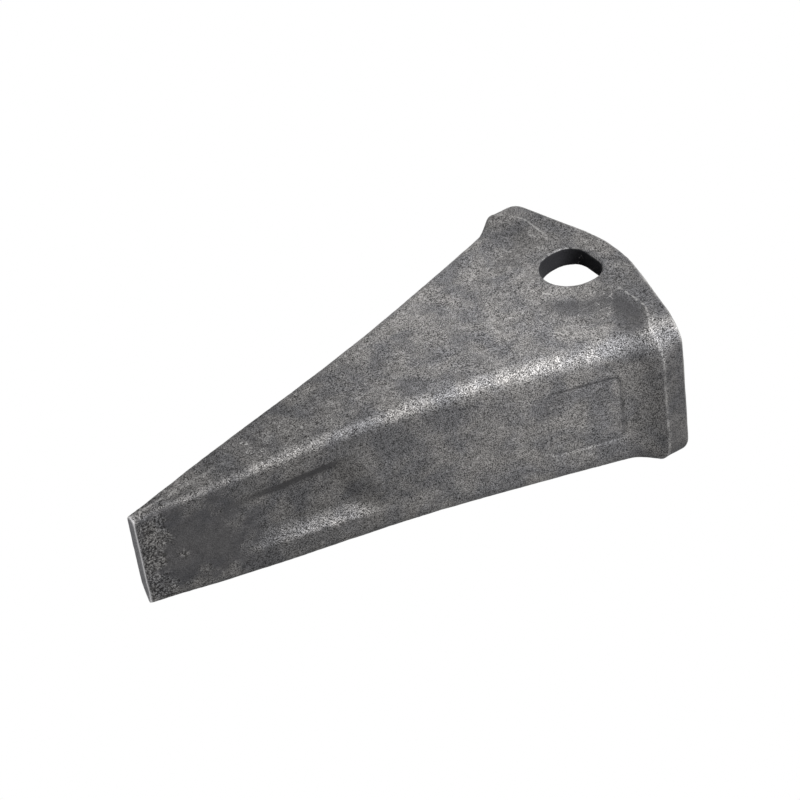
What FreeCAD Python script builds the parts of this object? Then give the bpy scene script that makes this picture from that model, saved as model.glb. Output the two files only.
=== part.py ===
import FreeCAD, Part

# Bucket tooth for heavy earth-moving equipment, with its cross lock pin.
#
# The tooth is one forged wedge with a socket in its rear that slips over an adapter nose.
# A flexible lock pin, two steel bars bonded to a rubber strip, is driven through the two ears
# and the nose to hold the tooth on.
#
# Row frame, millimetres: the origin is where the pin's axis crosses the tooth's centre line.
# +X points to the cutting edge, +Z is up when the tooth digs, and +Y runs along the pin.
# The tooth is the same above and below the plane z = 0, and on both sides of y = 0.

import math
import os

from FreeCAD import Vector

# ---- Wedge: half sizes of its rounded-rectangle section ----
TIP_X = 417.0  # pin axis to cutting edge
TIP_HALF_HEIGHT = 5.3
TIP_HALF_WIDTH = 42.9
REAR_HALF_HEIGHT = 109.5  # the top face's rear slope, carried on to the pin axis
REAR_HALF_WIDTH = 62.9  # the side face's rear slope, carried on to the pin axis
HEIGHT_SLOPES = (0.318, 0.193)  # how fast the half height falls near the collar and near the tip
HEIGHT_BLEND = 37.0  # half the length over which one slope turns into the other
WIDTH_SLOPES = (0.018, 0.106)
WIDTH_BLEND = 160.0
SIDE_FLARE = 1.2  # the side faces swell this much towards the pin hole
SIDE_FLARE_LENGTH = 105.0
TIP_CORNER_RADIUS = 3.5
REAR_CORNER_RADIUS = 19.0
WEDGE_STATIONS = 11

# ---- Collar round the mouth of the socket ----
COVE_START_X = 22.5  # where the faces start to sweep up into the collar
CREST_X = 1.7
COLLAR_REAR_X = -20.2
COLLAR_HALF_HEIGHT = 118.8
COLLAR_HALF_WIDTH = 68.8  # the ears' outer faces are flush with the collar's
COLLAR_CORNER_RADIUS = 24.6
CREST_RADIUS = 5.0

# ---- Ears: the rear lobes that carry the pin ----
EAR_APEX_X = -44.6
EAR_APEX_RADIUS = 137.0
EAR_SLOPE_DEG = 15.1
EAR_EDGE_RADIUS = 2.5
BOSS_TOP_RADIUS = 43.0  # raised pad round the pin hole
BOSS_FOOT_RADIUS = 58.0
BOSS_FOOT_HALF_WIDTH = 60.0
BOSS_TOP_HALF_WIDTH = 68.5

# ---- Socket for the adapter nose ----
SOCKET_MOUTH_X = -60.0
SOCKET_FLATS_X = 158.0  # the tapered part ends here and the parallel flats begin
SOCKET_END_X = 192.0
SOCKET_HALF_HEIGHT = 84.0  # at the pin axis
SOCKET_HEIGHT_SLOPE = 0.345
SOCKET_HALF_WIDTH = 50.2
SOCKET_WIDTH_SLOPE = 0.04
SOCKET_CORNER_RADIUS = 10.0

# ---- Pin hole: round in front, flat behind ----
HOLE_RADIUS = 25.2
HOLE_FLAT_X = -21.5
HOLE_CORNER_RADIUS = 17.0

# ---- Scoops in the top and bottom faces ----
SCOOP_REAR_X = 240.0
SCOOP_FRONT_X = 348.0
SCOOP_DEPTH = 8.5  # below the face at the rear end, fading to nothing at the front
SCOOP_HALF_WIDTH = 25.0  # at the face
SCOOP_FLOOR_HALF_WIDTH = 11.0
SCOOP_RAMP = 18.0  # length of the slope at its rear end
SCOOP_OVERRUN = 1.4  # the cutter is this many times the depth, so that it clears the face

# ---- Lock pin ----
PIN_LENGTH = 126.0
PIN_PARKED_Y = 52.0  # middle of the pin at rest: started from the +Y ear, not yet driven home
PIN_CLEARANCE = 0.5
PIN_END_CHAMFER = 3.0
RUBBER_REAR_X = -7.0  # faces of the two steel bars that hold the rubber
RUBBER_FRONT_X = 4.0
RUBBER_SIDE_RECESS = 1.6
RUBBER_END_RECESS = 3.0
NOTCH_LENGTH = 30.0  # shallow waist in the rear bar, where the nose's bore holds it
NOTCH_DEPTH = 2.5

CUT_OVERRUN = 1.0  # cutters run this far past the faces they open


def blended(x, rear_value, slopes, tip_value, blend):
    """Two straight tapers, one from rear_value at x = 0 and one aimed at the tip, joined by a parabola."""
    rear_slope, front_slope = slopes
    aimed_value = tip_value + front_slope * TIP_X
    meeting_x = (rear_value - aimed_value) / (rear_slope - front_slope)
    into_blend = min(max(x - meeting_x + blend, 0.0), 2.0 * blend)
    past_blend = max(x - meeting_x - blend, 0.0)
    turned = (rear_slope - front_slope) * (into_blend**2 / (4.0 * blend) + past_blend)
    return rear_value - rear_slope * x + turned


def half_height(x):
    return blended(x, REAR_HALF_HEIGHT, HEIGHT_SLOPES, TIP_HALF_HEIGHT, HEIGHT_BLEND)


def half_width(x):
    flare = max(0.0, 1.0 - x / SIDE_FLARE_LENGTH)
    return blended(x, REAR_HALF_WIDTH, WIDTH_SLOPES, TIP_HALF_WIDTH, WIDTH_BLEND) + SIDE_FLARE * flare**2


def corner_radius(x):
    return REAR_CORNER_RADIUS + (TIP_CORNER_RADIUS - REAR_CORNER_RADIUS) * x / TIP_X


def section(x, half_y, half_z, radius):
    """Rounded rectangle in the plane at x. All sections start at the same corner, so lofts don't twist."""
    flat_y = half_y - radius
    flat_z = half_z - radius
    corners = [(flat_y, flat_z), (-flat_y, flat_z), (-flat_y, -flat_z), (flat_y, -flat_z)]
    arcs = []
    for index, (y, z) in enumerate(corners):
        start = math.pi / 2.0 * index
        turn = [start, start + math.pi / 4.0, start + math.pi / 2.0]
        arcs.append([Vector(x, y + radius * math.cos(a), z + radius * math.sin(a)) for a in turn])
    edges = []
    for index, arc in enumerate(arcs):
        edges.append(Part.Arc(*arc).toShape())
        edges.append(Part.makeLine(arc[2], arcs[(index + 1) % 4][0]))
    return Part.Wire(edges)


def loft(sections, ruled=False):
    return Part.makeLoft(sections, True, ruled)


def prism(outline, run):
    return Part.Face(outline).extrude(run)


def wedge():
    """The forged body from the cutting edge back to where the collar's cove begins."""
    step = (TIP_X - COVE_START_X) / (WEDGE_STATIONS - 1)
    stations = [TIP_X - step * index for index in range(WEDGE_STATIONS)]
    return loft([section(x, half_width(x), half_height(x), corner_radius(x)) for x in stations])


def collar_section(x, share, shrink=0.0):
    """Section between the wedge's own shape (share 0) and the collar's crest (share 1)."""

    def between(wedge_value, collar_value):
        return wedge_value + (collar_value - wedge_value) * share

    return section(
        x,
        between(half_width(x), COLLAR_HALF_WIDTH) - shrink,
        between(half_height(x), COLLAR_HALF_HEIGHT) - shrink,
        between(corner_radius(x), COLLAR_CORNER_RADIUS),
    )


def collar_front():
    """The flared rim's front: a hollow cove up from the faces and a rounded crest."""
    crest_turn = math.radians(45.0)
    cove_end_x = CREST_X + CREST_RADIUS * math.sin(crest_turn)
    crest_drop = CREST_RADIUS * (1.0 - math.cos(crest_turn))
    run = COVE_START_X - cove_end_x
    cove = []
    for step in (0.0, 0.25, 0.5, 0.75, 1.0):
        cove.append(collar_section(COVE_START_X - run * step, step**2, crest_drop * step**2))
    crest = [cove[-1]]
    for part in (0.5, 0.0):
        angle = crest_turn * part
        drop = CREST_RADIUS * (1.0 - math.cos(angle))
        crest.append(collar_section(CREST_X + CREST_RADIUS * math.sin(angle), 1.0, drop))
    return loft(cove).fuse(loft(crest))


def rear_outline():
    """The ears and the collar's band in the plane y = 0: an apex arc, two straight flanks and a block."""
    slope = math.radians(EAR_SLOPE_DEG)
    apex_centre_x = EAR_APEX_X + EAR_APEX_RADIUS
    flank_start = Vector(
        apex_centre_x - EAR_APEX_RADIUS * math.cos(slope), 0, EAR_APEX_RADIUS * math.sin(slope)
    )
    flank_end_z = flank_start.z + (COLLAR_REAR_X - flank_start.x) / math.tan(slope)
    upper = [
        flank_start,
        Vector(COLLAR_REAR_X, 0, flank_end_z),
        Vector(COLLAR_REAR_X, 0, COLLAR_HALF_HEIGHT),
        Vector(CREST_X, 0, COLLAR_HALF_HEIGHT),
    ]
    lower = [Vector(point.x, 0, -point.z) for point in upper]
    round_the_block = upper + lower[::-1]
    edges = [Part.makeLine(a, b) for a, b in zip(round_the_block, round_the_block[1:])]
    edges.append(Part.Arc(lower[0], Vector(EAR_APEX_X, 0, 0), upper[0]).toShape())
    return Part.Wire(edges)


def rear_block():
    """The collar's band with both ears behind it, eased at the ears' rear edges, and a gap between them."""
    length = CREST_X - EAR_APEX_X + CUT_OVERRUN
    slab = prism(rear_outline(), Vector(0, 2.0 * COLLAR_HALF_WIDTH, 0))
    slab.translate(Vector(0, -COLLAR_HALF_WIDTH, 0))
    end = section(EAR_APEX_X - CUT_OVERRUN, COLLAR_HALF_WIDTH, COLLAR_HALF_HEIGHT, COLLAR_CORNER_RADIUS)
    block = slab.common(prism(end, Vector(length + CUT_OVERRUN, 0, 0)))
    apex_edges = [
        edge
        for edge in block.Edges
        if edge.BoundBox.XMin < EAR_APEX_X + EAR_EDGE_RADIUS and edge.BoundBox.YLength < EAR_EDGE_RADIUS
    ]
    gap = Part.makeBox(
        COLLAR_REAR_X - EAR_APEX_X + CUT_OVERRUN,
        2.0 * SOCKET_HALF_WIDTH,
        2.0 * COLLAR_HALF_HEIGHT,
        Vector(EAR_APEX_X - CUT_OVERRUN, -SOCKET_HALF_WIDTH, -COLLAR_HALF_HEIGHT),
    )
    return block.makeFillet(EAR_EDGE_RADIUS, apex_edges).cut(gap)


def bosses():
    """Half a low cone on each side face that carries the ear's flat out in front of the pin hole."""
    height = BOSS_TOP_HALF_WIDTH - BOSS_FOOT_HALF_WIDTH
    pads = []
    for side in (-1, 1):
        outward = Vector(0, side, 0)
        foot = outward * BOSS_FOOT_HALF_WIDTH
        cone = Part.makeCone(BOSS_FOOT_RADIUS, BOSS_TOP_RADIUS, height, foot, outward)
        front = Part.makeBox(
            BOSS_FOOT_RADIUS,
            2.0 * COLLAR_HALF_WIDTH,
            2.0 * BOSS_FOOT_RADIUS,
            Vector(0, -COLLAR_HALF_WIDTH, -BOSS_FOOT_RADIUS),
        )
        pads.append(cone.common(front))
    return pads


def socket():
    """Space for the adapter nose: a taper that ends in parallel flats and a square seat."""

    def socket_section(x):
        tapered_x = min(x, SOCKET_FLATS_X)
        return section(
            x,
            SOCKET_HALF_WIDTH - SOCKET_WIDTH_SLOPE * tapered_x,
            SOCKET_HALF_HEIGHT - SOCKET_HEIGHT_SLOPE * tapered_x,
            SOCKET_CORNER_RADIUS,
        )

    mouth, flats, seat = [socket_section(x) for x in (SOCKET_MOUTH_X, SOCKET_FLATS_X, SOCKET_END_X)]
    return loft([mouth, flats], True).fuse(loft([flats, seat], True))


def hole_outline(y, shrink=0.0):
    """The pin hole's section at y: a half circle in front, two rounded corners and a flat behind."""
    radius = HOLE_RADIUS - shrink
    corner = HOLE_CORNER_RADIUS - shrink
    flat_x = HOLE_FLAT_X + shrink
    corner_x = flat_x + corner
    corner_z = radius - corner
    diagonal = corner / math.sqrt(2.0)
    front = [Vector(0, y, radius), Vector(radius, y, 0), Vector(0, y, -radius)]
    lower = [
        Vector(corner_x, y, -radius),
        Vector(corner_x - diagonal, y, -corner_z - diagonal),
        Vector(flat_x, y, -corner_z),
    ]
    upper = [Vector(point.x, y, -point.z) for point in reversed(lower)]
    edges = []
    for arc, following in ((front, lower), (lower, upper), (upper, front)):
        edges.append(Part.Arc(*arc).toShape())
        edges.append(Part.makeLine(arc[2], following[0]))
    return Part.Wire(edges)


def hole_prism(y_from, y_to, shrink=0.0):
    return prism(hole_outline(y_from, shrink), Vector(0, y_to - y_from, 0))


def scoop(side):
    """Cutter for the trough between the two edge ribs. side is 1 on the top face and -1 below."""
    floor_rear_x = SCOOP_REAR_X + SCOOP_RAMP
    floor_rear_z = half_height(floor_rear_x) - SCOOP_DEPTH
    floor_front_z = half_height(SCOOP_FRONT_X)

    def ring(share_up):
        half_y = SCOOP_FLOOR_HALF_WIDTH + (SCOOP_HALF_WIDTH - SCOOP_FLOOR_HALF_WIDTH) * share_up
        rear = Vector(
            floor_rear_x - SCOOP_RAMP * share_up,
            half_y,
            side * (floor_rear_z + (half_height(SCOOP_REAR_X) - floor_rear_z) * share_up),
        )
        front = Vector(
            SCOOP_FRONT_X + SCOOP_RAMP * share_up,
            half_y,
            side * (floor_front_z + SCOOP_DEPTH * share_up),
        )
        mirrored = [Vector(point.x, -point.y, point.z) for point in (front, rear)]
        corners = [rear, front] + mirrored
        return Part.makePolygon(corners + corners[:1])

    return loft([ring(0.0), ring(SCOOP_OVERRUN)], True)


def tooth_body():
    outside = wedge().fuse([collar_front(), rear_block()] + bosses())
    reach = COLLAR_HALF_WIDTH + CUT_OVERRUN
    hollow = outside.cut([socket(), hole_prism(-reach, reach), scoop(1), scoop(-1)])
    return hollow.removeSplitter()


def pin_blank():
    """The whole pin's section over its length, chamfered at both ends, in its parked place."""
    y_from = PIN_PARKED_Y - PIN_LENGTH / 2.0
    y_to = PIN_PARKED_Y + PIN_LENGTH / 2.0
    blank = hole_prism(y_from + PIN_END_CHAMFER, y_to - PIN_END_CHAMFER, PIN_CLEARANCE)
    for end, inward in ((y_from, 1), (y_to, -1)):
        small = hole_outline(end, PIN_CLEARANCE + PIN_END_CHAMFER)
        full = hole_outline(end + inward * PIN_END_CHAMFER, PIN_CLEARANCE)
        blank = blank.fuse(loft([small, full], True))
    return blank.removeSplitter()


def slab(x_from, x_to):
    """A block between two planes across the pin, larger than the pin in its other two directions."""
    corner = Vector(x_from, PIN_PARKED_Y - PIN_LENGTH, -HOLE_RADIUS)
    return Part.makeBox(x_to - x_from, 2.0 * PIN_LENGTH, 2.0 * HOLE_RADIUS, corner)


def pin_front_bar():
    return pin_blank().common(slab(RUBBER_FRONT_X, HOLE_RADIUS))


def pin_rear_bar():
    """The rear bar, with a shallow waist that the adapter nose's bore catches."""
    bar = pin_blank().common(slab(HOLE_FLAT_X, RUBBER_REAR_X))
    waist_floor_x = HOLE_FLAT_X + PIN_CLEARANCE + NOTCH_DEPTH
    half_floor = NOTCH_LENGTH / 2.0
    rise = NOTCH_DEPTH + CUT_OVERRUN
    points = [
        Vector(waist_floor_x - rise, PIN_PARKED_Y - half_floor - rise, -HOLE_RADIUS),
        Vector(waist_floor_x, PIN_PARKED_Y - half_floor, -HOLE_RADIUS),
        Vector(waist_floor_x, PIN_PARKED_Y + half_floor, -HOLE_RADIUS),
        Vector(waist_floor_x - rise, PIN_PARKED_Y + half_floor + rise, -HOLE_RADIUS),
    ]
    waist = Part.makePolygon(points + points[:1])
    return bar.cut(prism(waist, Vector(0, 0, 2.0 * HOLE_RADIUS)))


def pin_rubber():
    """The rubber strip, set back a little from the bars' sides and ends."""
    half_length = PIN_LENGTH / 2.0 - RUBBER_END_RECESS
    shrink = PIN_CLEARANCE + RUBBER_SIDE_RECESS
    core = hole_prism(PIN_PARKED_Y - half_length, PIN_PARKED_Y + half_length, shrink)
    return core.common(slab(RUBBER_REAR_X, RUBBER_FRONT_X))


os.makedirs("parts", exist_ok=True)
for make_piece in (tooth_body, pin_front_bar, pin_rear_bar, pin_rubber):
    make_piece().exportStep(os.path.join("parts", make_piece.__name__ + ".step"))
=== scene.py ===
import math
from functools import reduce
from itertools import product

import bpy
import numpy as np
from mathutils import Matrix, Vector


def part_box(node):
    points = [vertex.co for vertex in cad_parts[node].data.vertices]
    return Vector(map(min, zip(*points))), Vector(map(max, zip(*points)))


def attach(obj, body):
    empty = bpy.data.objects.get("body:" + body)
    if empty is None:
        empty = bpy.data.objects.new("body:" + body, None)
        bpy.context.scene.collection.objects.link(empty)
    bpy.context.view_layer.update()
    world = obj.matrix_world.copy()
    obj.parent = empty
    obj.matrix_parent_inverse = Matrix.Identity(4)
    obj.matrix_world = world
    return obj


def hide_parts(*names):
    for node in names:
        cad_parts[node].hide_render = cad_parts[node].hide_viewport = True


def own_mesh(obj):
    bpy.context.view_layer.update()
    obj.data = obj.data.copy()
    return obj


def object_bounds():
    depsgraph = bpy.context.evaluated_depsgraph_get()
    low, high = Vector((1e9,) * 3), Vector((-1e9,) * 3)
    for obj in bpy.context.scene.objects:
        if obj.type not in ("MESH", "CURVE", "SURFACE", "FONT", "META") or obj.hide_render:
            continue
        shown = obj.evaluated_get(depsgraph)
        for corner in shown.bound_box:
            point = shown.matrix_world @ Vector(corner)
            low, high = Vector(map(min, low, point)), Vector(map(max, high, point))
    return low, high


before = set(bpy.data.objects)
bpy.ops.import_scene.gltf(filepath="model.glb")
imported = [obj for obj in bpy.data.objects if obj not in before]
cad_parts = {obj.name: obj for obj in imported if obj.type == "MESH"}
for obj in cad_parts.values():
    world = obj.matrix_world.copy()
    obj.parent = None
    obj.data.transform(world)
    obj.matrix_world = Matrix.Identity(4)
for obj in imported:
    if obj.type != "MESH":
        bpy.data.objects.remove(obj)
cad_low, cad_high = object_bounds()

import openvdb
from mathutils import Matrix, Vector
from mathutils.bvhtree import BVHTree

# Excavator bucket tooth: a shot-blasted steel forging and its two-bar rubber lock pin.
# Shapes are distance fields in millimetres, on the frame's own axes, with +X to the cutting edge and +Z up.
# A field is negative inside the material. Each is meshed once. The forging's vertices are then roughened, so
# its visible surface is real geometry.

MM = 0.001  # metres
MARGIN_VOXELS = 3.0  # empty space round each meshed piece

# ---- Forging: what the CAD node doesn't say ----
FORGING_VOXEL = 1.1
REAR_CORNER_RADIUS = 19.0  # of the wedge's section at the pin axis
TIP_CORNER_RADIUS = 4.6
COLLAR_CORNER_RADIUS = 24.6  # of the collar's four corners
CREST_CORNER_RADIUS = 34.0  # of its -Y upper corner at the crest, which is blended more than the others
CREST_X = 1.7  # the collar's front edge on the top and bottom faces
BAND_REAR_X = -20.2  # its rear face between the ears
COVE_LENGTH = 21.0  # hollow sweep in front of the collar, top and bottom
SIDE_COVE_LENGTH = 26.0  # the same on the side faces
BOSS_COVE_EXTRA = 34.0  # it is longer and fainter straight in front of the boss
CREST_LINE_HEIGHT = 0.5  # thin raised line along the crests, left by the dies
CREST_LINE_HALF_WIDTH = 0.9
PAD_DEPTH = 0.8  # plain sunk pad on the top face, where such a tooth carries its forging marks
PAD_FRONT_X = 88.0
PAD_REAR_X = 30.0
PAD_HALF_WIDTH = 30.0
PAD_CORNER_RADIUS = 6.0
PAD_EDGE = 1.2
PAD_GROOVE_DEPTH = 1.1
PAD_GROOVE_HALF_WIDTH = 0.9
SIDE_CREST_X = -11.0  # the side's raised flat ends here, above and below the boss
SIDE_FLARE_Z = 78.0  # further than this from the middle, that end runs forward to meet CREST_X
SIDE_FLARE_HEIGHT = 30.0
BOSS_RADIUS = 41.0
BOSS_BLEND = 16.0
TIP_EDGE = 1.2  # width of the easing round the cutting edge
TIP_WEAR_DEPTH = 8.0  # how far the cutting edge's +Y lower corner is worn away
TIP_WEAR_WIDTH = 21.0
TIP_WEAR_LENGTH = 45.0

# ---- Where the CAD wedge is measured ----
TAPER_REAR_X = 30.0
TAPER_TIP_GAP = 6.0
TAPER_STATIONS = 48
TAPER_DEGREE = 6  # of the polynomial through the stations
RIB_Y = 34.0  # on the ribs beside the scoop

# ---- Forged roughness ----
NOISE_LAYERS = ((34.0, 0.5), (13.0, 0.3), (5.0, 0.16), (2.6, 0.14))  # blob width and depth of each
NOISE_SEED = 11
DENTS = 26
DENT_REACH = (2.2, 5.5)
DENT_DEPTH = (0.25, 0.7)
DENT_SEED = 5

# ---- Ears ----
EAR_ARC_RADIUS = 137.0
EAR_SLOPE = math.radians(15.1)
EAR_EDGE = 2.2
EAR_GAP_HALF_WIDTH = 50.2

# ---- Socket and pin hole ----
SOCKET_END_X = 192.0
SOCKET_FLATS_X = 158.0
SOCKET_HALF_HEIGHT = 84.0
SOCKET_HEIGHT_SLOPE = 0.345
SOCKET_WIDTH_SLOPE = 0.04
SOCKET_CORNER_RADIUS = 10.0
SOCKET_BOTTOM_BLEND = 8.0
SOCKET_MOUTH_EDGE = 3.0
HOLE_RADIUS = 25.2
HOLE_FLAT_X = -21.5
HOLE_CORNER_RADIUS = 17.0
HOLE_EDGE = 0.7

# ---- Scoop between the edge ribs, top and bottom ----
SCOOP_DEPTH = 7.0
SCOOP_HALF_WIDTH = 30.8
SCOOP_TAPER = 0.05  # its walls close in towards the tip
SCOOP_STEEP_WALL = 12.0  # width of the wall on the -Y side, narrowing where the scoop runs out
SCOOP_WIDE_WALL = 14.5  # and on the +Y side
SCOOP_SHADE_REAR_X = 248.0  # the painted shade on the -Y wall starts abruptly here
SCOOP_REAR_X = 226.0
SCOOP_FLOOR_X = 256.0
SCOOP_SKEW = 0.43  # its rear end runs slantwise across the face
SCOOP_STEEP_POWER = 1.3  # the higher these are, the more the walls steepen towards the ribs
SCOOP_WIDE_POWER = 1.7
SCOOP_FADE_X = 285.0  # the floor starts to rise back to the face here
SCOOP_FRONT_X = 356.0

# ---- Trimmed flash line along the middle of both side faces ----
FLASH_HEIGHT = 1.4
FLASH_HALF_WIDTH = 1.0
FLASH_REAR_X = 285.0  # it has been blasted away behind this

# ---- Lock pin ----
PIN_VOXEL = 0.7
PIN_CHAMFER = 3.0
PIN_EDGE = 1.2
PIN_CLEARANCE = 0.5  # between the pin and its hole, all round
WAIST_DEPTH = 2.5
WAIST_HALF_LENGTH = 18.0
WAIST_RAMP = 4.0
RUBBER_CORNER = 3.0
RUBBER_EDGE = 0.8
RUBBER_MENISCUS = 0.9  # the rubber's sides are hollow between the bars

# ---- Camera and light ----
CAMERA_LENS = 126.17  # millimetres, for SENSOR_WIDTH
CAMERA_PLACE = Vector((1.01885, -1.37663, 1.52278))
CAMERA_RIGHT = Vector((-0.82203, 0.11352, 0.55802))
CAMERA_DOWN = Vector((0.42048, 0.78183, 0.46037))
SENSOR_WIDTH = 36.0
WORLD_LEVEL = 0.42

# ---- Where the forging's finish changes, each from..to in metres from the pin axis ----
TIP_PATCH_REAR = (0.318, 0.345)
TIP_PATCH_FRONT = (0.388, 0.402)
TIP_PATCH_SIDE = (0.026, 0.042)
TIP_PITS = (0.385, 0.400)
TIP_DARKENING = (0.08, 0.30)
COLLAR_DARKENING = (-0.01, 0.05)

# ---- Colours ----
COOL_STEEL = (0.148, 0.147, 0.152)
WARM_STEEL = (0.220, 0.213, 0.208)
TIP_PATCH = (0.064, 0.064, 0.072)
# painted shade: darkens the coves, the collar bands, the pad's groove and the scoop's steep wall
HOLLOW_SHADE = (0.070, 0.069, 0.072)
# painted light: the cutting edge's end face, which the lamp barely reaches, is made lighter
TIP_END_LIGHT = (0.30, 0.30, 0.32)
# painted shade: the pin hole's wall is made nearly black
BORE_SHADE = (0.034, 0.034, 0.038)
WORN_STEEL = (0.55, 0.54, 0.53)
# painted highlight: a bright line along the corners round the cutting edge's face
RIM_HIGHLIGHT = (0.90, 0.89, 0.90)
FLAT_GREY = (0.85, 0.85, 0.85)  # in place of the grain, where the steel is smooth
PIN_SCALE = (0.105, 0.108, 0.118)
PIN_BARE = (0.235, 0.228, 0.220)
RUST = (0.120, 0.062, 0.035)
RUBBER_BLACK = (0.012, 0.012, 0.013)
RUBBER_DUST = (0.05, 0.047, 0.044)


# ======================================================================================
# Fields
# ======================================================================================


def smooth_step(share):
    share = np.clip(share, 0.0, 1.0)
    return share * share * (3.0 - 2.0 * share)


def either(a, b, blend):
    """Union of two fields with a fillet about blend wide."""
    overlap = np.maximum(blend - np.abs(a - b), 0.0) / blend
    return np.minimum(a, b) - overlap * overlap * blend / 4.0


def both(a, b, blend):
    """Intersection of two fields with an eased edge about blend wide."""
    return -either(-a, -b, blend)


def rounded_corner(side, height, radius):
    """Distance to a corner of that radius, where side and height are the distances past its two faces."""
    past_side = side + radius
    past_height = height + radius
    outside = np.hypot(np.maximum(past_side, 0.0), np.maximum(past_height, 0.0))
    return outside + np.minimum(np.maximum(past_side, past_height), 0.0) - radius


def axes(low, high, voxel):
    """Coordinates of the voxels between two corners, shaped so that they broadcast to a block."""
    margin = MARGIN_VOXELS * voxel
    spans = [np.arange(a - margin, b + margin, voxel, dtype=np.float32) for a, b in zip(low, high)]
    return np.ix_(*spans)


def blurred(field):
    """The field averaged with its neighbours once along each axis, which eases every edge a little."""
    for axis in range(3):
        before = np.roll(field, 1, axis)
        after = np.roll(field, -1, axis)
        field = (before + 2.0 * field + after) / 4.0
    return field


def surface(field, corner, voxel):
    """Vertices in millimetres and quads of the field's zero surface."""
    grid = openvdb.FloatGrid(background=float(voxel))
    grid.copyFromArray(np.ascontiguousarray(field, dtype=np.float32))
    points, quads = grid.convertToQuads(isovalue=0.0)
    return points * voxel + np.array(corner), quads


def piece_from_field(name, field, corner, voxel):
    """The field's surface as a Blender object, with its faces turned outwards."""
    points, quads = surface(field, corner, voxel)
    a, b, c = (points[quads[:, index]] for index in (0, 1, 2))
    if np.einsum("ij,ij->", np.cross(b - a, c - a), a - points.mean(0)) < 0.0:
        quads = quads[:, ::-1]
    mesh = bpy.data.meshes.new(name)
    mesh.from_pydata((points * MM).tolist(), [], quads.tolist())
    mesh.shade_smooth()
    piece = bpy.data.objects.new(name, mesh)
    bpy.context.scene.collection.objects.link(piece)
    return piece


# ======================================================================================
# Surface roughness
# ======================================================================================


def lattice_noise(points, cell, seed):
    """A smooth random number between -1 and 1 at each point, with blobs about one cell wide."""
    rng = np.random.default_rng(seed)
    place = (points - points.min(0)) / cell
    base = np.floor(place).astype(int)
    share = smooth_step(place - base)
    lattice = rng.uniform(-1.0, 1.0, base.max(0) + 2)
    total = np.zeros(len(points))
    for corner in product((0, 1), repeat=3):
        weight = np.prod(np.where(corner, share, 1.0 - share), axis=1)
        total += weight * lattice[tuple((base + corner).T)]
    return total


def read_vertices(mesh):
    points = np.empty(len(mesh.vertices) * 3, np.float32)
    normals = np.empty_like(points)
    mesh.vertices.foreach_get("co", points)
    mesh.vertex_normals.foreach_get("vector", normals)
    return points.reshape(-1, 3) / MM, normals.reshape(-1, 3)


def write_vertices(mesh, points):
    mesh.vertices.foreach_set("co", (points * MM).astype(np.float32).ravel())
    mesh.update()


def neighbour_mean(values, edges):
    """The mean of each vertex's neighbours' values."""
    total = np.zeros_like(values)
    count = np.zeros(len(values))
    for near, far in ((0, 1), (1, 0)):
        np.add.at(total, edges[:, near], values[edges[:, far]])
        np.add.at(count, edges[:, near], 1.0)
    return total / (count[:, None] if values.ndim == 2 else count)


def everywhere(points):
    return np.ones(len(points))


def store_wear(mesh, exposed=everywhere):
    """Writes how much each exposed vertex stands proud of its neighbourhood, in millimetres, as wear."""
    points, normals = read_vertices(mesh)
    edges = np.empty(len(mesh.edges) * 2, np.int32)
    mesh.edges.foreach_get("vertices", edges)
    edges = edges.reshape(-1, 2)
    proud = np.einsum("ij,ij->i", points - neighbour_mean(points, edges), normals)
    for _ in range(3):
        proud = neighbour_mean(proud, edges)
    attribute = mesh.attributes.new("wear", "FLOAT", "POINT")
    attribute.data.foreach_set("value", (proud * exposed(points)).astype(np.float32))


def roughen(mesh, exposed):
    """Lowers the surface by summed noise and by dents. exposed gives the share of it that each point gets."""
    points, normals = read_vertices(mesh)
    lowered = np.zeros(len(points))
    for index, (cell, height) in enumerate(NOISE_LAYERS):
        lowered += height * (1.0 - lattice_noise(points, cell, NOISE_SEED + index)) / 2.0
    rng = np.random.default_rng(DENT_SEED)
    for number in rng.integers(0, len(points), DENTS):
        reach = rng.uniform(*DENT_REACH)
        distance = np.linalg.norm(points - points[number], axis=1)
        lowered += rng.uniform(*DENT_DEPTH) * np.exp(-((distance / reach) ** 2))
    write_vertices(mesh, points - normals * (lowered * exposed(points))[:, None])


# ======================================================================================
# The forging
# ======================================================================================


def cad_tree(node):
    """The CAD node's mesh, ready for ray casts."""
    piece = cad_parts[node]
    return BVHTree.FromObject(piece, bpy.context.evaluated_depsgraph_get())


def wedge_taper():
    """Half width and half height of the CAD wedge along X, each as a function of x in millimetres."""
    tree = cad_tree("tooth_body")
    tip_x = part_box("tooth_body")[1].x / MM
    stations = np.linspace(TAPER_REAR_X, tip_x - TAPER_TIP_GAP, TAPER_STATIONS)
    far = 1.0
    widths = []
    heights = []
    for x in stations:
        hit = tree.ray_cast(Vector((x * MM, RIB_Y * MM, far)), Vector((0, 0, -1)))[0]
        heights.append(hit.z / MM)
        flat_z = 0.62 * hit.z * (1.0 - x / tip_x)  # above the boss, and clear of the rounded edges in front
        hit = tree.ray_cast(Vector((x * MM, -far, flat_z)), Vector((0, 1, 0)))[0]
        widths.append(-hit.y / MM)

    def measured(values):
        """A smooth curve through the values, straight on behind the first station."""
        curve = np.polynomial.Polynomial.fit(stations, values, TAPER_DEGREE)
        slope_x = stations[0]
        slope = curve.deriv()(slope_x)
        return lambda x: np.where(x < slope_x, curve(slope_x) + slope * (x - slope_x), curve(x))

    return measured(widths), measured(heights)


def scoop_along(x, y):
    """1 over the scoop's floor, falling to 0 at its rear ramp and where it runs out in front."""
    drop = smooth_step((x + SCOOP_SKEW * y - SCOOP_REAR_X) / (SCOOP_FLOOR_X - SCOOP_REAR_X))
    return drop * smooth_step((SCOOP_FRONT_X - x) / (SCOOP_FRONT_X - SCOOP_FADE_X))


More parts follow.
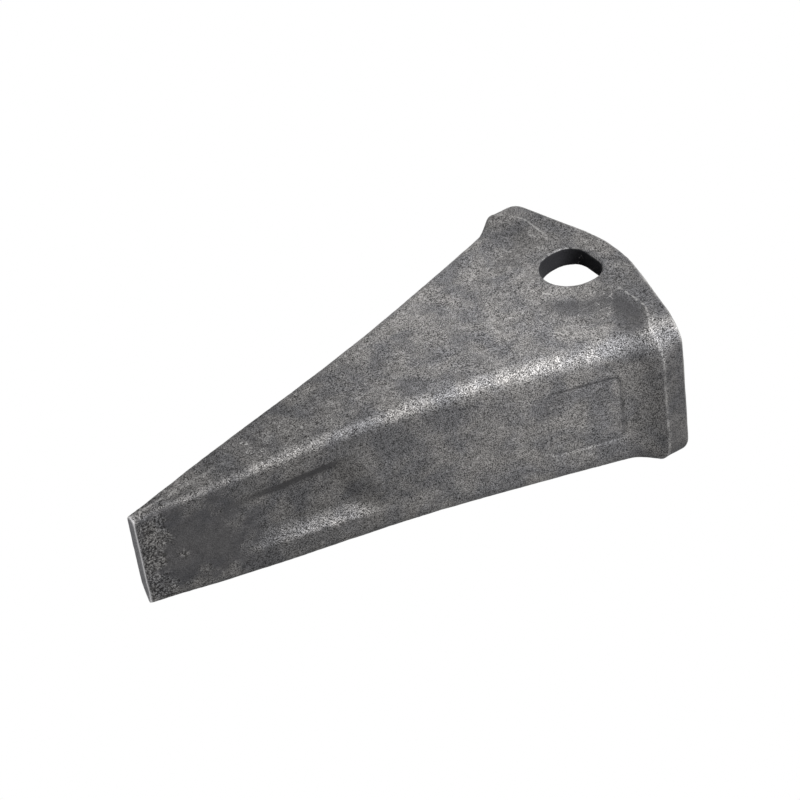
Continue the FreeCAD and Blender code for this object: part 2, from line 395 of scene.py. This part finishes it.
def scoop_wall(x, y):
    """How far in from the scoop's top edge a point is."""
    return SCOOP_HALF_WIDTH - SCOOP_TAPER * (x - SCOOP_FLOOR_X) - np.abs(y)


def steep_wall_width(x, y):
    return SCOOP_STEEP_WALL * (0.4 + 0.6 * scoop_along(x, y))


def scoop_depth(x, y):
    """How deep the scoop lies below the ribs, on the top and bottom faces alike."""
    steep = np.clip(1.0 - scoop_wall(x, y) / steep_wall_width(x, y), 0.0, 1.0) ** SCOOP_STEEP_POWER
    wide = np.clip(1.0 - scoop_wall(x, y) / SCOOP_WIDE_WALL, 0.0, 1.0) ** SCOOP_WIDE_POWER
    return SCOOP_DEPTH * scoop_along(x, y) * (1.0 - np.where(y < 0.0, steep, wide))


def pad_edge(x, y):
    """Distance to the plain sunk pad's outline. It is negative on the pad."""
    middle_x = (PAD_FRONT_X + PAD_REAR_X) / 2.0
    past_end = np.abs(x - middle_x) - (PAD_FRONT_X - middle_x)
    return rounded_corner(past_end, np.abs(y) - PAD_HALF_WIDTH, PAD_CORNER_RADIUS)


def pad_groove(x, y):
    return np.exp(-((pad_edge(x, y) / PAD_GROOVE_HALF_WIDTH) ** 2))


def pad_depth(x, y, z):
    """The pad with the groove round it, on the top face only."""
    depth = PAD_DEPTH * smooth_step(-pad_edge(x, y) / PAD_EDGE) + PAD_GROOVE_DEPTH * pad_groove(x, y)
    return np.where(z > 0.0, depth, 0.0)


def flash_line(x, z, tip_x):
    """The low ridge that the forging dies leave where they meet, 0 to 1."""
    return smooth_step((x - FLASH_REAR_X) / (tip_x - FLASH_REAR_X)) * np.exp(-((z / FLASH_HALF_WIDTH) ** 2))


def side_flat_edge(x, z):
    """Distance on a side face from the raised flat round the pin hole. It is negative on the flat."""
    flare = smooth_step((np.abs(z) - SIDE_FLARE_Z) / SIDE_FLARE_HEIGHT)
    flank = SIDE_CREST_X + (CREST_X - SIDE_CREST_X) * flare
    return either(x - flank, np.hypot(x, z) - BOSS_RADIUS, BOSS_BLEND)


def side_cove_length(z):
    return SIDE_COVE_LENGTH + BOSS_COVE_EXTRA * smooth_step((60.0 - np.abs(z)) / 34.0)


def crest_line(edge, height):
    """How strong the thin line is at that distance from a crest. It has worn away round the boss itself."""
    line = np.exp(-(((edge + 1.0) / CREST_LINE_HALF_WIDTH) ** 2))
    return line * smooth_step((np.abs(height) - 38.0) / 12.0)


def tip_wear(x, y, z, tip_x):
    """How far the cutting edge's worn corner lies inside the new shape, on the lower face only."""
    along = smooth_step((x - tip_x + TIP_WEAR_LENGTH) / TIP_WEAR_LENGTH)
    across = np.clip((y - TIP_WEAR_WIDTH) / TIP_WEAR_WIDTH, 0.0, None) ** 2
    return np.where(z < 0.0, TIP_WEAR_DEPTH * along * across, 0.0)


def outer_skin(x, y, z, side_y, top_z, tip_x):
    """The wedge, its coves up to the collar and the raised flats round the pin hole."""
    width_at, height_at = wedge_taper()
    side_edge = side_flat_edge(x, z)
    side_share = np.clip(1.0 - side_edge / side_cove_length(z), 0.0, 1.0) ** 2
    top_share = np.clip(1.0 - (x - CREST_X) / COVE_LENGTH, 0.0, 1.0) ** 2
    width = width_at(x)
    height = height_at(x)
    half_width = width + (side_y - width) * side_share + FLASH_HEIGHT * flash_line(x, z, tip_x)
    half_width = half_width + CREST_LINE_HEIGHT * crest_line(side_edge, z)
    half_height = height + (top_z - height) * top_share - scoop_depth(x, y) - pad_depth(x, y, z)
    half_height = half_height + CREST_LINE_HEIGHT * crest_line(x - CREST_X, z)
    radius = REAR_CORNER_RADIUS + (TIP_CORNER_RADIUS - REAR_CORNER_RADIUS) * x / tip_x
    on_band = smooth_step((CREST_X - x) / (CREST_X - BAND_REAR_X))
    soft_corner = (CREST_CORNER_RADIUS - COLLAR_CORNER_RADIUS) * (1.0 - on_band) * ((y < 0.0) & (z > 0.0))
    radius = radius + (COLLAR_CORNER_RADIUS + soft_corner - radius) * top_share
    radius = np.minimum(radius, height - 0.5)
    past_top = np.abs(z) - half_height + tip_wear(x, y, z, tip_x)
    skin = rounded_corner(np.abs(y) - half_width, past_top, radius)
    return both(skin, x - tip_x, TIP_EDGE)


def rear_end(x, y, z, apex_x):
    """Everything in front of the collar's rear face, and the two ears behind it."""
    centre_x = apex_x + EAR_ARC_RADIUS
    flank_x = centre_x - EAR_ARC_RADIUS * math.cos(EAR_SLOPE)
    flank_z = EAR_ARC_RADIUS * math.sin(EAR_SLOPE)
    arc = np.hypot(x - centre_x, z) - EAR_ARC_RADIUS
    flank = (flank_x + (np.abs(z) - flank_z) * math.tan(EAR_SLOPE) - x) * math.cos(EAR_SLOPE)
    ear = np.where(np.abs(z) < (centre_x - x) * math.tan(EAR_SLOPE), arc, flank)
    ear = both(ear, EAR_GAP_HALF_WIDTH - np.abs(y), EAR_EDGE)
    return either(ear, BAND_REAR_X - x, EAR_EDGE)


def socket(x, y, z):
    """The tapered opening for the adapter's nose, whose walls run level from SOCKET_FLATS_X on."""
    tapered_x = np.minimum(x, SOCKET_FLATS_X)
    side = np.abs(y) - (EAR_GAP_HALF_WIDTH - SOCKET_WIDTH_SLOPE * tapered_x)
    height = np.abs(z) - (SOCKET_HALF_HEIGHT - SOCKET_HEIGHT_SLOPE * tapered_x)
    walls = rounded_corner(side, height, SOCKET_CORNER_RADIUS)
    return both(walls, x - SOCKET_END_X, SOCKET_BOTTOM_BLEND)


def pin_section(x, z):
    """The D outline that the pin and its hole share: round in front and flat behind."""
    front = np.hypot(x, z) - HOLE_RADIUS
    rear = rounded_corner(HOLE_FLAT_X - x, np.abs(z) - HOLE_RADIUS, HOLE_CORNER_RADIUS)
    return np.where(x > 0.0, front, rear)


def tooth_forging():
    """The forging: its fields put together, meshed, roughened outside and marked for its finish."""
    low, high = (np.array(corner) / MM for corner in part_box("tooth_body"))
    voxel = FORGING_VOXEL
    x, y, z = axes(low, high, voxel)
    skin = outer_skin(x, y, z, high[1], high[2], high[0])
    steel = both(skin, rear_end(x, y, z, low[0]), EAR_EDGE)
    steel = both(steel, -socket(x, y, z), SOCKET_MOUTH_EDGE)
    steel = both(steel, -pin_section(x, z), HOLE_EDGE)
    corner = (x.min(), y.min(), z.min())
    piece = piece_from_field("tooth_forging", blurred(steel), corner, voxel)

    def away_from_fits(points):
        """1 on the outside and 0 in the pin hole and the socket, which stay smooth."""
        near_hole = pin_section(points[:, 0], points[:, 2]) / 6.0
        in_socket = socket(*points.T) / 6.0
        return smooth_step(near_hole) * (0.25 + 0.75 * smooth_step(in_socket))

    roughen(piece.data, away_from_fits)
    store_wear(piece.data, away_from_fits)
    store_places(piece.data, high[0])
    return piece


def in_cove(distance, length):
    """1 in a cove whose crest is at distance 0, easing in fast there and out slowly over its length."""
    return smooth_step(distance / 7.0) * smooth_step((length + 8.0 - distance) / length)


def painted_shade_places(x, y, z, facing_y, facing_z, broad):
    """Where shade is painted: the coves before the collar, its top and bottom bands, the pad's groove and the
    scoop's steep wall.
    """
    flat_side = smooth_step((facing_y - 0.82) / 0.14)
    flat_top = smooth_step((facing_z - 0.82) / 0.14)
    beside_boss = smooth_step((np.abs(z) - 12.0) / 30.0)
    upper = np.where(z > 0.0, 1.0, 0.3)
    side = in_cove(side_flat_edge(x, z), SIDE_COVE_LENGTH) * beside_boss * upper * flat_side
    top = in_cove(x - CREST_X, COVE_LENGTH) + smooth_step((CREST_X - 2.0 - x) / 3.0)
    top = 0.55 * top * flat_top * smooth_step((np.abs(z) - 95.0) / 5.0)
    groove = 0.9 * pad_groove(x, y) * broad * (z > 0.0)
    from_edge = scoop_wall(x, y)
    step = smooth_step(from_edge / 1.5) * smooth_step((steep_wall_width(x, y) - from_edge) / 3.0)
    step = step * scoop_along(x, y) * smooth_step((x - SCOOP_SHADE_REAR_X) / 6.0)
    step = step * (y < 0.0) * (facing_z > 0.3)
    return np.maximum.reduce([side, top, groove, step])


def crest_places(x, y, z, facing_y, broad, tip_x):
    """The thin lines along the crests, the flash line and the pin hole's edge."""
    side_line = crest_line(side_flat_edge(x, z), z) * smooth_step((np.abs(y) - 56.0) / 5.0)
    top_line = 0.6 * crest_line(x - CREST_X, z) * broad
    flash = flash_line(x, z, tip_x) * smooth_step((facing_y - 0.5) / 0.3)
    at_hole = smooth_step(1.0 - np.abs(pin_section(x, z) - 0.2))
    hole_edge = at_hole * smooth_step(1.1 - np.abs(facing_y - 0.62) / 0.3)
    return np.maximum.reduce([side_line, top_line, flash, 0.8 * hole_edge])


def store_places(mesh, tip_x):
    """Attributes for the finish, each 0 to 1.

    hollow: where shade is painted, as in painted_shade_places; crest: as in crest_places; bore: the pin
    hole's wall, painted in shade;
    broad: the top and bottom faces; tip_end: the cutting edge's face, painted lighter; rim: a painted
    highlight round that face.
    """
    points, normals = read_vertices(mesh)
    x, y, z = points.T
    facing_x, facing_y, facing_z = np.abs(normals.T)
    broad = smooth_step((facing_z - 0.55) / 0.3)
    in_hole = smooth_step(1.0 - (pin_section(x, z) - 0.4) / 0.6)
    values = {
        "hollow": painted_shade_places(x, y, z, facing_y, facing_z, broad),
        "bore": in_hole * smooth_step((0.85 - facing_y) / 0.3),
        "crest": crest_places(x, y, z, facing_y, broad, tip_x),
        "broad": broad,
        "tip_end": smooth_step((x - tip_x + 2.2) / 1.2),
        "rim": smooth_step((x - tip_x + 4.0) / 1.0) * smooth_step(1.15 - np.abs(facing_x - 0.62) / 0.36),
    }
    for name, share in values.items():
        attribute = mesh.attributes.new(name, "FLOAT", "POINT")
        attribute.data.foreach_set("value", share.astype(np.float32))


# ======================================================================================
# The lock pin
# ======================================================================================


def pin_piece(name, node, shape):
    """One piece of the lock pin, whose field fills its CAD node's box."""
    low, high = (np.array(corner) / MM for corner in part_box(node))
    x, y, z = axes(low, high, PIN_VOXEL)
    field = blurred(shape(x, y, z, low, high))
    piece = piece_from_field(name, field, (x.min(), y.min(), z.min()), PIN_VOXEL)
    store_wear(piece.data)
    return piece


def steel_bar(x, y, z, low, high):
    """The D section between the bar's two flat faces, chamfered at both ends."""
    section = pin_section(x, z) + PIN_CLEARANCE
    from_middle = np.abs(y - (low[1] + high[1]) / 2.0)
    end = from_middle - (high[1] - low[1]) / 2.0
    chamfer = (section + end + PIN_CHAMFER) / math.sqrt(2.0)
    bar = both(np.maximum(section, chamfer), end, PIN_EDGE)
    bar = both(bar, x - high[0], PIN_EDGE)
    return both(bar, low[0] - x, PIN_EDGE)


def waisted_bar(x, y, z, low, high):
    """The rear bar: its flat has a shallow waist that the nose's bore catches."""
    from_middle = np.abs(y - (low[1] + high[1]) / 2.0)
    depth = WAIST_DEPTH * smooth_step((WAIST_HALF_LENGTH - from_middle) / WAIST_RAMP)
    return both(steel_bar(x, y, z, low, high), low[0] + depth - x, PIN_EDGE)


def rubber(x, y, z, low, high):
    """The bonded strip, hollowed a little between the bars."""
    middle = (low + high) / 2.0
    half = (high - low) / 2.0
    across = (x - middle[0]) / half[0]
    hollow = RUBBER_MENISCUS * np.clip(1.0 - across * across, 0.0, 1.0)
    block = both(np.abs(z - middle[2]) - half[2], np.abs(y - middle[1]) - half[1], RUBBER_CORNER) + hollow
    return both(block, np.abs(x - middle[0]) - half[0], RUBBER_EDGE)


# ======================================================================================
# Materials
# ======================================================================================


class Nodes:
    """Short calls for building one material's node tree."""

    def __init__(self, name):
        self.material = bpy.data.materials.new(name)
        self.material.use_nodes = True
        self.tree = self.material.node_tree
        self.shader = self.tree.nodes["Principled BSDF"]
        self.coordinates = self.add("ShaderNodeTexCoord").outputs

    def add(self, kind, **settings):
        node = self.tree.nodes.new(kind)
        for key, value in settings.items():
            setattr(node, key, value)
        return node

    def link(self, source, target):
        """Feeds a number, a colour or another node's output into an input."""
        if isinstance(source, (int, float)):
            target.default_value = source
        elif isinstance(source, tuple):
            target.default_value = (*source, 1.0)
        else:
            self.tree.links.new(source, target)

    def noise(self, size, detail=2.0, stretch=None, distortion=0.0):
        """Noise between 0 and 1 whose blobs are about size millimetres wide."""
        node = self.add("ShaderNodeTexNoise")
        place = self.coordinates["Object"]
        if stretch:
            mapping = self.add("ShaderNodeMapping")
            self.link(place, mapping.inputs["Vector"])
            mapping.inputs["Scale"].default_value = stretch
            place = mapping.outputs["Vector"]
        self.link(place, node.inputs["Vector"])
        node.inputs["Scale"].default_value = 1.0 / (size * MM)
        node.inputs["Detail"].default_value = detail
        node.inputs["Distortion"].default_value = distortion
        return node.outputs["Fac"]

    def math(self, operation, *values):
        """The operation on one or two values, or on each next value and the result so far."""
        if len(values) > 2:
            return reduce(lambda result, value: self.math(operation, result, value), values)
        node = self.add("ShaderNodeMath", operation=operation)
        for value, slot in zip(values, node.inputs):
            self.link(value, slot)
        return node.outputs[0]

    def ramp(self, value, low, high, out_low=0.0, out_high=1.0):
        """value from low..high spread smoothly over out_low..out_high, and level beyond them."""
        node = self.add("ShaderNodeMapRange", interpolation_type="SMOOTHSTEP")
        names = ("Value", "From Min", "From Max", "To Min", "To Max")
        for name, given in zip(names, (value, low, high, out_low, out_high)):
            self.link(given, node.inputs[name])
        return node.outputs["Result"]

    def mix(self, share, a, b, blend="MIX"):
        """Colour a where share is 0, and b where it is 1. Slots 6 and 7 and output 2 are the colour ones."""
        node = self.add("ShaderNodeMix", data_type="RGBA", blend_type=blend)
        self.link(share, node.inputs[0])
        self.link(a, node.inputs[6])
        self.link(b, node.inputs[7])
        return node.outputs[2]

    def mix_numbers(self, share, a, b):
        """The same for numbers, whose slots are 2 and 3 and output 0."""
        node = self.add("ShaderNodeMix", data_type="FLOAT")
        self.link(share, node.inputs[0])
        self.link(a, node.inputs[2])
        self.link(b, node.inputs[3])
        return node.outputs[0]

    def shade(self, colour, factor, share=1.0):
        """The colour times factor, or part of the way there."""
        return self.mix(share, colour, factor, "MULTIPLY")

    def attribute(self, name):
        return self.add("ShaderNodeAttribute", attribute_name=name).outputs["Fac"]

    def along(self, axis, of="Object"):
        """One axis of the object's own coordinates in metres, or of its Normal."""
        split = self.add("ShaderNodeSeparateXYZ")
        self.link(self.coordinates[of], split.inputs["Vector"])
        return split.outputs[axis]

    def scuffs(self):
        """Short thin crooked scratches, gathered here and there."""
        level = self.math("ABSOLUTE", self.math("SUBTRACT", self.noise(7.0, detail=4.0), 0.5))
        line = self.ramp(level, 0.0, 0.022, 1.0, 0.0)
        short = self.ramp(self.noise(4.5, detail=1.0), 0.50, 0.56)
        gathered = self.ramp(self.noise(30.0, detail=2.0), 0.49, 0.57)
        return self.math("MULTIPLY", line, short, gathered)

    def bump(self, height, distance):
        """height from 0 to 1 as a bump of that many millimetres."""
        node = self.add("ShaderNodeBump")
        node.inputs["Distance"].default_value = distance * MM
        node.inputs["Strength"].default_value = 1.0
        self.link(height, node.inputs["Height"])
        self.link(node.outputs["Normal"], self.shader.inputs["Normal"])

    def finish(self, colour, roughness, metallic):
        self.link(colour, self.shader.inputs["Base Color"])
        self.link(roughness, self.shader.inputs["Roughness"])
        self.link(metallic, self.shader.inputs["Metallic"])
        return self.material


def tip_places(steel, along, broad):
    """Where the smooth patch near the cutting edge and the pits at the edge are, with ragged outlines."""
    ragged = steel.math("MULTIPLY", steel.math("SUBTRACT", steel.noise(16.0, detail=4.0), 0.5), 0.10)
    ragged_along = steel.math("ADD", along, ragged)
    across = steel.math("ADD", steel.math("ABSOLUTE", steel.along("Y")), ragged)
    starts = steel.ramp(ragged_along, *TIP_PATCH_REAR)
    ends = steel.ramp(ragged_along, *TIP_PATCH_FRONT, 1.0, 0.0)
    between = steel.ramp(across, *TIP_PATCH_SIDE, 1.0, 0.0)
    return steel.math("MULTIPLY", starts, ends, between, broad), steel.ramp(ragged_along, *TIP_PITS)


def forged_steel():
    """Shot-blasted forging: salt-and-pepper grain, faint warm and cool mottling, painted shade in the hollows
    and the pin hole, a painted lighter end face and a painted highlight round the cutting edge.
    """
    steel = Nodes("forged_steel")
    along = steel.along("X")
    broad = steel.attribute("broad")
    patch, pitted = tip_places(steel, along, broad)

    mottling = steel.noise(30.0, detail=5.0, distortion=0.4)
    clouds = steel.noise(9.0, detail=4.0)
    tint = steel.mix(steel.ramp(mottling, 0.35, 0.65), COOL_STEEL, WARM_STEEL)
    tint = steel.shade(tint, steel.ramp(clouds, 0.30, 0.70, 0.86, 1.14))
    tint = steel.shade(tint, steel.ramp(along, *TIP_DARKENING, 1.14, 0.68))
    tint = steel.shade(tint, steel.ramp(along, *COLLAR_DARKENING, 0.68, 1.0))
    tint = steel.mix(steel.math("MULTIPLY", patch, 0.45), tint, TIP_PATCH)

    fine = steel.math("MULTIPLY", steel.noise(0.9, detail=2.0), 0.80)
    coarse = steel.math("MULTIPLY", steel.noise(2.6, detail=3.0), 0.20)
    grain = steel.math("ADD", fine, coarse)
    contrast = steel.ramp(grain, 0.33, 0.67, 0.10, 1.95)
    colour = steel.shade(tint, steel.mix(steel.math("MULTIPLY", patch, 0.65), contrast, FLAT_GREY))
    pits = steel.ramp(steel.noise(1.9, detail=3.0), 0.38, 0.62, 0.35, 1.65)
    colour = steel.shade(colour, pits, pitted)

    # painted shade in the coves, the collar bands, the pad's groove and the scoop's steep wall
    colour = steel.mix(steel.math("MULTIPLY", steel.attribute("hollow"), 0.72), colour, HOLLOW_SHADE)
    # painted light on the cutting edge's end face
    colour = steel.mix(steel.math("MULTIPLY", steel.attribute("tip_end"), 0.6), colour, TIP_END_LIGHT)
    # painted shade on the pin hole's wall
    colour = steel.mix(steel.attribute("bore"), colour, BORE_SHADE)
    worn = steel.math("MULTIPLY", steel.ramp(steel.attribute("wear"), 0.03, 0.10), 0.8)
    broken = steel.ramp(steel.noise(4.0, detail=4.0), 0.42, 0.56)
    crest = steel.math("MULTIPLY", steel.attribute("crest"), broken, 0.55)
    scuffs = steel.math("MULTIPLY", steel.scuffs(), steel.ramp(broad, 0.0, 0.5, 0.70, 0.0))
    colour = steel.mix(steel.math("MAXIMUM", worn, crest, scuffs), colour, WORN_STEEL)
    # painted highlight along the corners round the cutting edge's face
    colour = steel.mix(steel.attribute("rim"), colour, RIM_HIGHLIGHT)
    steel.bump(grain, 0.62)
    return steel.finish(colour, steel.ramp(grain, 0.3, 0.7, 0.72, 0.50), 0.85)


def pin_steel():
    """Rolled bar under a thin blue-grey scale, with drawn lines along it and saw marks on its ends."""
    steel = Nodes("pin_steel")
    on_end = steel.ramp(steel.math("ABSOLUTE", steel.along("Y", of="Normal")), 0.80, 0.95)
    drawn = steel.noise(1.2, detail=3.0, stretch=(1.0, 0.06, 1.0))
    sawn = steel.noise(1.4, detail=2.0, stretch=(1.0, 1.0, 0.05))
    grain = steel.noise(0.8, detail=2.0)
    patches = steel.noise(11.0, detail=5.0, distortion=0.6)
    marks = steel.mix_numbers(on_end, drawn, sawn)
    colour = steel.mix(steel.ramp(patches, 0.38, 0.62), PIN_SCALE, PIN_BARE)
    colour = steel.shade(colour, steel.ramp(marks, 0.32, 0.68, 0.70, 1.30))
    colour = steel.shade(colour, steel.ramp(grain, 0.32, 0.68, 0.72, 1.28))
    rust = steel.math("MULTIPLY", steel.ramp(steel.noise(6.0, detail=5.0), 0.56, 0.66), 0.45)
    colour = steel.mix(rust, colour, RUST)
    colour = steel.mix(steel.ramp(steel.attribute("wear"), 0.01, 0.05), colour, WORN_STEEL)
    steel.bump(steel.math("ADD", marks, steel.math("MULTIPLY", grain, 0.5)), 0.16)
    return steel.finish(colour, steel.ramp(patches, 0.38, 0.62, 0.56, 0.38), 0.95)


def black_rubber():
    """Moulded rubber, dusty in patches."""
    black = Nodes("black_rubber")
    grain = black.noise(0.9, detail=3.0)
    dust = black.noise(9.0, detail=4.0)
    colour = black.mix(black.ramp(dust, 0.45, 0.75), RUBBER_BLACK, RUBBER_DUST)
    black.bump(grain, 0.12)
    return black.finish(colour, black.ramp(grain, 0.3, 0.7, 0.55, 0.8), 0.0)


# ======================================================================================
# Stage
# ======================================================================================


def white_for_camera(name):
    """Pale and matt to the light, but plain white to the camera."""
    material = bpy.data.materials.new(name)
    material.use_nodes = True
    nodes = material.node_tree.nodes
    nodes["Principled BSDF"].inputs["Base Color"].default_value = (0.50, 0.50, 0.50, 1.0)
    nodes["Principled BSDF"].inputs["Roughness"].default_value = 0.9
    glow = nodes.new("ShaderNodeEmission")
    glow.inputs["Color"].default_value = (1.0, 1.0, 1.0, 1.0)
    seen = nodes.new("ShaderNodeLightPath")
    mix = nodes.new("ShaderNodeMixShader")
    link = material.node_tree.links.new
    link(seen.outputs["Is Camera Ray"], mix.inputs[0])
    link(nodes["Principled BSDF"].outputs[0], mix.inputs[1])
    link(glow.outputs[0], mix.inputs[2])
    link(mix.outputs[0], nodes["Material Output"].inputs["Surface"])
    return material


def floor():
    bpy.ops.mesh.primitive_plane_add(size=8.0, location=(0.0, 0.0, cad_low.z - MM))
    plane = bpy.context.object
    plane.name = "floor"
    plane.data.materials.append(white_for_camera("pale_floor"))


def world_light(level):
    world = bpy.data.worlds.new("studio")
    bpy.context.scene.world = world
    world.use_nodes = True
    nodes = world.node_tree.nodes
    seen = nodes.new("ShaderNodeLightPath")
    mix = nodes.new("ShaderNodeMix")
    mix.data_type = "FLOAT"
    mix.inputs[2].default_value = level
    mix.inputs[3].default_value = 1.0
    world.node_tree.links.new(seen.outputs["Is Camera Ray"], mix.inputs[0])
    world.node_tree.links.new(mix.outputs[0], nodes["Background"].inputs["Strength"])
    nodes["Background"].inputs["Color"].default_value = (1.0, 1.0, 1.0, 1.0)


def soft_light(name, right, up, toward, distance, size, power):
    """An area light placed as seen by the camera, aimed at the middle of the tooth."""
    middle = (cad_low + cad_high) / 2.0
    back = CAMERA_RIGHT.cross(-CAMERA_DOWN)
    direction = (CAMERA_RIGHT * right - CAMERA_DOWN * up + back * toward).normalized()
    data = bpy.data.lights.new(name, "AREA")
    data.shape = "DISK"
    data.size = size
    data.energy = power
    lamp = bpy.data.objects.new(name, data)
    lamp.location = middle + direction * distance
    lamp.rotation_euler = direction.to_track_quat("Z", "Y").to_euler()
    bpy.context.scene.collection.objects.link(lamp)


def camera():
    data = bpy.data.cameras.new("camera")
    data.lens = CAMERA_LENS
    data.sensor_width = SENSOR_WIDTH
    piece = bpy.data.objects.new("camera", data)
    back = CAMERA_RIGHT.cross(-CAMERA_DOWN)
    turn = Matrix((CAMERA_RIGHT, -CAMERA_DOWN, back)).transposed().to_4x4()
    piece.matrix_world = Matrix.Translation(CAMERA_PLACE) @ turn
    bpy.context.scene.collection.objects.link(piece)
    bpy.context.scene.camera = piece


# ======================================================================================
# Assembly
# ======================================================================================


def place(piece, node, body, material, slot):
    """Puts the finish on a piece, which then stands in for its CAD node and moves with the body."""
    piece.data.materials.append(material)
    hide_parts(node)
    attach(piece, body)


place(tooth_forging(), "tooth_body", "tooth", forged_steel(), "forged_steel")
bar_finish = pin_steel()
front_bar = pin_piece("front_bar", "pin_front_bar", steel_bar)
place(front_bar, "pin_front_bar", "lock_pin", bar_finish, "pin_steel")
rear_bar = pin_piece("rear_bar", "pin_rear_bar", waisted_bar)
place(rear_bar, "pin_rear_bar", "lock_pin_rear", bar_finish, "pin_steel")
strip = pin_piece("rubber_strip", "pin_rubber", rubber)
place(strip, "pin_rubber", "lock_pin", black_rubber(), "pin_rubber")
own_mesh(strip)

floor()
world_light(WORLD_LEVEL)
soft_light("key", right=0.63, up=0.31, toward=0.70, distance=1.6, size=1.3, power=50.0)
camera()
bpy.context.scene.view_settings.view_transform = "Standard"
